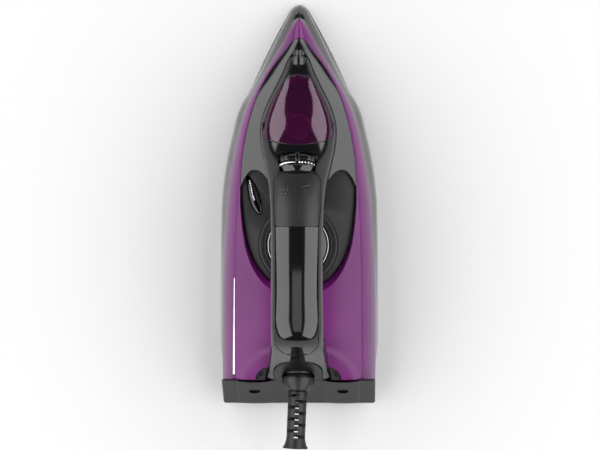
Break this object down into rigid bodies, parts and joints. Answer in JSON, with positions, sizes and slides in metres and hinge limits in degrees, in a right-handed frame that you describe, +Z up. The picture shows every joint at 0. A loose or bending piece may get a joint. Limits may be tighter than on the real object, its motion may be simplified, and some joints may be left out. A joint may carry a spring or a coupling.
{
  "type": "steam iron",
  "caption": "Steam iron with a closed-loop handle over a thermostat dial, a hinged water lid, spray and steam buttons, a spray nozzle, a resting heel and a swivelling cord guard.",
  "frame": {"origin": "centre of the sole plate's flat underside", "axes": "+Y towards the nose, +Z up through the handle, +X to the right of a user behind the heel"},
  "size_m": [0.1186, 0.3325, 0.1403],
  "materials": {
    "gloss_black": "high-gloss black moulding",
    "satin_black": "satin black moulding",
    "purple": "glossy translucent purple moulding",
    "smoke": "smoky clear moulding",
    "rubber": "matte black flexible PVC",
    "silicone": "red-brown silicone",
    "steel": "polished stainless steel",
    "cast_aluminium": "die-cast aluminium",
    "chrome": "bright chrome",
    "brass": "machined brass",
    "white_plastic": "natural white engineering plastic",
    "red_wire": "brown silicone insulation",
    "blue_wire": "blue silicone insulation",
    "green_wire": "green and yellow silicone insulation"
  },
  "bodies": {
    "housing": {"ball_retainer": "satin_black", "base_screw_front": "steel", "base_screw_left": "steel", "base_screw_right": "steel", "base_skirt": "gloss_black", "chamber_cover": "steel", "chamber_gasket": "silicone", "clean_spring": "steel", "clean_valve_seat": "white_plastic", "control_deck": "satin_black", "fill_spout": "smoke", "handle_cover": "gloss_black", "handle_shell": "gloss_black", "heating_element": "steel", "heel_cover": "gloss_black", "heel_screw_left": "steel", "heel_screw_right": "steel", "inlet_tray": "gloss_black", "knob_pivot_pin": "steel", "lid_hinge_pin": "steel", "nose_hood": "gloss_black", "nozzle_body": "gloss_black", "nozzle_tip": "gloss_black", "rear_fairing_left": "gloss_black", "rear_fairing_right": "gloss_black", "sole_casting": "cast_aluminium", "sole_skin": "steel", "spray_pump_cylinder": "white_plastic", "spray_pump_spring": "steel", "spray_tube": "smoke", "steam_pump_cylinder": "white_plastic", "steam_pump_spring": "steel", "steam_tube": "smoke", "tank_floor": "smoke", "tank_housing": "purple", "terminal_block": "white_plastic", "thermal_fuse": "steel", "thermostat": "white_plastic", "valve_seat": "silicone", "wire_earth": "green_wire", "wire_live": "red_wire", "wire_neutral": "blue_wire"},
    "lid": {"fill_lid": "purple"},
    "dial": {"thermostat_dial": "satin_black", "dial_trim_ring": "chrome", "dial_cap": "gloss_black", "dial_shaft": "white_plastic"},
    "knob": {"steam_knob": "gloss_black"},
    "drip_valve": {"valve_rod": "brass"},
    "spray": {"spray_button": "satin_black", "spray_pump_piston": "white_plastic"},
    "steam": {"steam_button": "satin_black", "steam_pump_piston": "white_plastic"},
    "clean": {"clean_button": "gloss_black", "clean_plunger": "white_plastic"},
    "swivel": {"swivel_ring": "gloss_black"},
    "cord_outlet": {"cord_ball": "satin_black", "cord_guard": "rubber"}
  },
  "joints": [
    {"name": "lid_hinge", "type": "hinge", "parent": "housing", "child": "lid", "pos_m": [0, 0.0738, 0.0553], "axis": [-1, 0, 0], "range_deg": [0, 75]},
    {"name": "dial_turn", "type": "hinge", "parent": "housing", "child": "dial", "pos_m": [0, -0.0513, 0.054], "axis": [0, 0, 1], "range_deg": [-135, 135]},
    {"name": "knob_rock", "type": "hinge", "parent": "housing", "child": "knob", "pos_m": [0, 0.00195, 0.08975], "axis": [0, 0.788, -0.6157], "range_deg": [-25, 25]},
    {"name": "drip_valve_lift", "type": "slide", "parent": "housing", "child": "drip_valve", "axis": [0, 0, 1], "range_m": [-0.001, 0.001]},
    {"name": "spray_press", "type": "slide", "parent": "housing", "child": "spray", "axis": [0, 0, -1], "range_m": [0, 0.0035], "stiffness_N_per_m": 600, "springref_m": -0.002, "deforming": ["spray_pump_spring"]},
    {"name": "steam_press", "type": "slide", "parent": "housing", "child": "steam", "axis": [0, 0, -1], "range_m": [0, 0.0035], "stiffness_N_per_m": 600, "springref_m": -0.002, "deforming": ["steam_pump_spring"]},
    {"name": "clean_press", "type": "slide", "parent": "housing", "child": "clean", "axis": [0, 0, -1], "range_m": [0, 0.003], "stiffness_N_per_m": 600, "springref_m": -0.002, "deforming": ["clean_spring"]},
    {"name": "swivel_yaw", "type": "hinge", "parent": "housing", "child": "swivel", "pos_m": [0, -0.1518, 0.064], "axis": [0, 0, 1], "range_deg": [-30, 35]},
    {"name": "swivel_pitch", "type": "hinge", "parent": "swivel", "child": "cord_outlet", "pos_m": [0, -0.1518, 0.064], "axis": [0.999, -0.0436, 0], "range_deg": [-35, 20]}
  ],
  "couplings": [
    {"joint": "drip_valve_lift", "follows": "knob_rock", "m_per_rad": 0.002}
  ]
}
